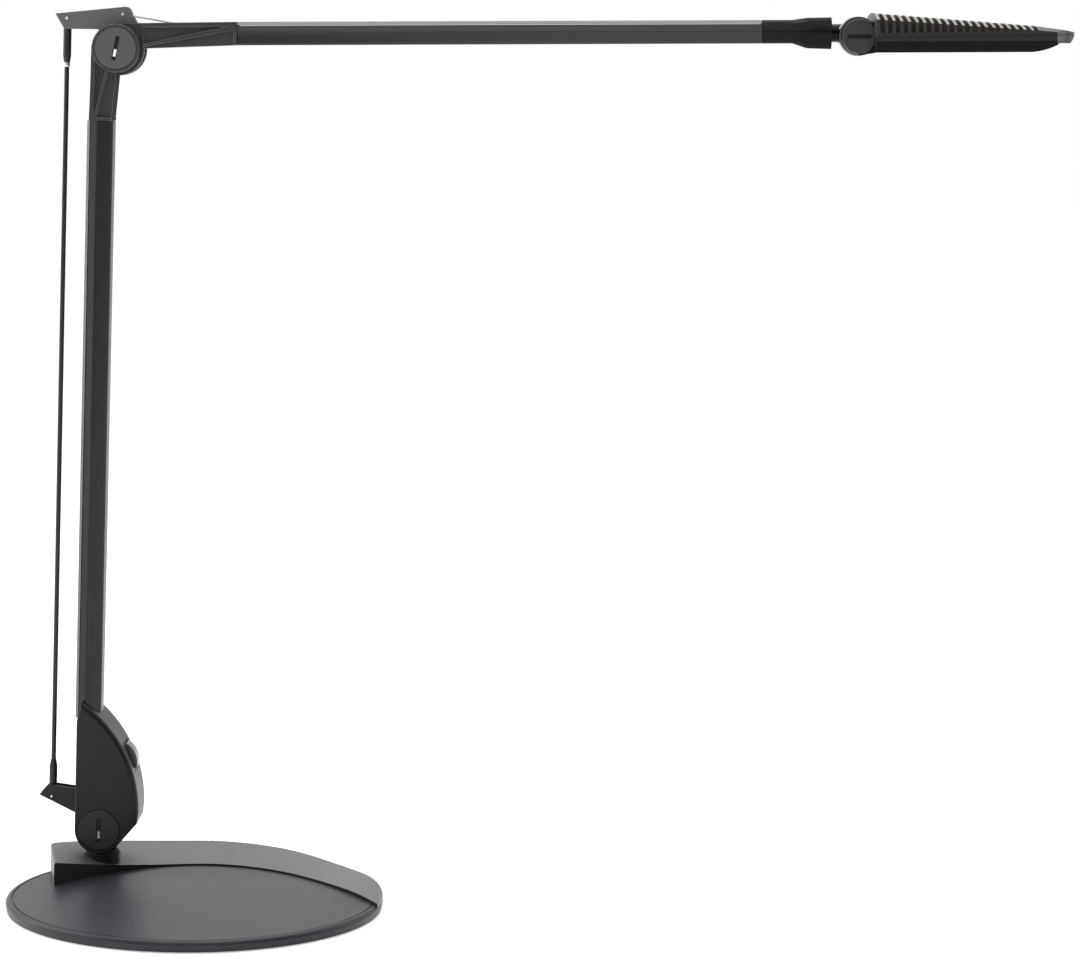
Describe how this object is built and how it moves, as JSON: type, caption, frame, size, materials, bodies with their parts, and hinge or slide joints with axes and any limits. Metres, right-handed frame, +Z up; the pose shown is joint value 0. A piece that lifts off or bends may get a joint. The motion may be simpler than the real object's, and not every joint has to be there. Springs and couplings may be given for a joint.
{
  "type": "led desk lamp",
  "caption": "Balanced swing-arm LED desk lamp: round weighted base with a crescent deck, swivelling hinge housing, faceted arms with a parallelogram rod, finned tilting head.",
  "frame": {"origin": "centre of the round base, on the surface it stands on", "axes": "+X along the reach of the upper arm towards the head, +Y away from the viewer of the picture, +Z up"},
  "size_m": [0.6563, 0.2352, 0.5595],
  "materials": {
    "base_paint": "satin metallic grey paint",
    "deck_plastic": "satin grey moulding",
    "iron": "raw casting",
    "plated_steel": "zinc plated",
    "bright_steel": "bright",
    "spring_steel": "oiled",
    "pad_rubber": "matte",
    "grommet_rubber": "matte",
    "bush_plastic": "matte",
    "dark_paint": "satin black",
    "bracket_paint": "satin dark grey",
    "housing_plastic": "fine grain dark grey",
    "cap_plastic": "satin dark grey",
    "anodised_tube": "dark grey satin anodised",
    "strip_plastic": "satin",
    "casting": "dark grey coated casting",
    "board_laminate": "solder mask",
    "switch_plastic": "matte",
    "button_plastic": "satin",
    "sleeve_plastic": "satin black",
    "yoke_chrome": "dark chrome",
    "head_gloss": "gloss black",
    "sink_anodised": "dark satin anodised",
    "lens_frosted": "frosted white",
    "led_laminate": "white solder mask",
    "led_phosphor": "phosphor"
  },
  "bodies": {
    "base": {"base_plate": "base_paint", "base_deck": "deck_plastic", "base_weight": "iron", "base_bottom_cover": "plated_steel", "base_pad": "pad_rubber", "base_screws": "plated_steel", "cable_grommet": "grommet_rubber", "swivel_bush": "bush_plastic"},
    "turret": {"swivel_post": "dark_paint", "swivel_ring": "plated_steel", "lower_bracket": "bracket_paint", "lower_bracket_rivets": "bright_steel"},
    "lower_arm": {"housing_near": "housing_plastic", "housing_far": "housing_plastic", "housing_screws": "plated_steel", "lower_pivot_bolt": "plated_steel", "lower_friction_washers": "bush_plastic", "lower_pivot_caps": "cap_plastic", "lower_arm_tube": "anodised_tube", "lower_cable_strip": "strip_plastic", "lower_tube_plug": "bush_plastic", "control_board": "board_laminate", "tact_switch": "switch_plastic", "lower_balance_spring": "spring_steel", "lower_spring_anchor": "plated_steel", "lower_balance_cable": "bright_steel", "elbow_clevis": "casting", "elbow_pivot_bolt": "plated_steel", "elbow_friction_washers": "bush_plastic", "elbow_caps": "cap_plastic"},
    "push_button": {"push_button": "button_plastic"},
    "link_rod": {"link_rod": "dark_paint", "rod_end_sleeves": "sleeve_plastic"},
    "elbow_bracket": {"elbow_bracket": "bracket_paint", "elbow_spacer": "bush_plastic", "elbow_bracket_rivets": "bright_steel"},
    "upper_arm": {"upper_fitting": "casting", "upper_arm_tube": "anodised_tube", "upper_cable_strip": "strip_plastic", "upper_balance_spring": "spring_steel", "upper_spring_anchor": "plated_steel", "upper_balance_cable": "bright_steel", "arm_end_sleeve": "sleeve_plastic"},
    "head_yoke": {"head_yoke": "yoke_chrome", "yoke_ring": "plated_steel", "head_friction_washers": "bush_plastic"},
    "head": {"head_shell": "head_gloss", "heat_sink": "sink_anodised", "diffuser_lens": "lens_frosted", "led_board": "led_laminate", "led_chips": "led_phosphor", "head_hinge_pin": "plated_steel", "head_hinge_caps": "cap_plastic", "head_screws": "plated_steel"}
  },
  "joints": [
    {"name": "swivel", "type": "hinge", "parent": "base", "child": "turret", "pos_m": [-0.0651, 0.06, 0.02], "axis": [0, 0, 1], "range_deg": [-150, 150]},
    {"name": "lower_pivot", "type": "hinge", "parent": "turret", "child": "lower_arm", "pos_m": [-0.0651, 0.06, 0.0386], "axis": [0, 1, 0], "range_deg": [-20, 45], "deforming": ["lower_balance_cable"]},
    {"name": "rod_pivot", "type": "hinge", "parent": "turret", "child": "link_rod", "pos_m": [-0.0967, 0.06, 0.0568], "axis": [0, 1, 0], "range_deg": [-21, 46]},
    {"name": "bracket_pivot", "type": "hinge", "parent": "lower_arm", "child": "elbow_bracket", "pos_m": [-0.05496, 0.06, 0.5309], "axis": [0, 1, 0], "range_deg": [-46, 21]},
    {"name": "elbow_pivot", "type": "hinge", "parent": "elbow_bracket", "child": "upper_arm", "pos_m": [-0.05496, 0.06, 0.5309], "axis": [0, 1, 0], "range_deg": [-40, 30], "deforming": ["upper_balance_cable"]},
    {"name": "head_roll", "type": "hinge", "parent": "upper_arm", "child": "head_yoke", "pos_m": [0.40442, 0.06, 0.54694], "axis": [0.9998, 0, 0.0182], "range_deg": [-90, 90]},
    {"name": "head_tilt", "type": "hinge", "parent": "head_yoke", "child": "head", "pos_m": [0.40446, 0.06, 0.54484], "axis": [0, 1, 0], "range_deg": [-60, 60]},
    {"name": "button_press", "type": "slide", "parent": "lower_arm", "child": "push_button", "axis": [-0.9239, 0, -0.3827], "range_m": [0, 0.0012], "stiffness_N_per_m": 1200, "springref_m": -0.0003}
  ],
  "couplings": [
    {"joint": "rod_pivot", "follows": "lower_pivot", "ratio": 1},
    {"joint": "bracket_pivot", "follows": "lower_pivot", "ratio": -1}
  ]
}
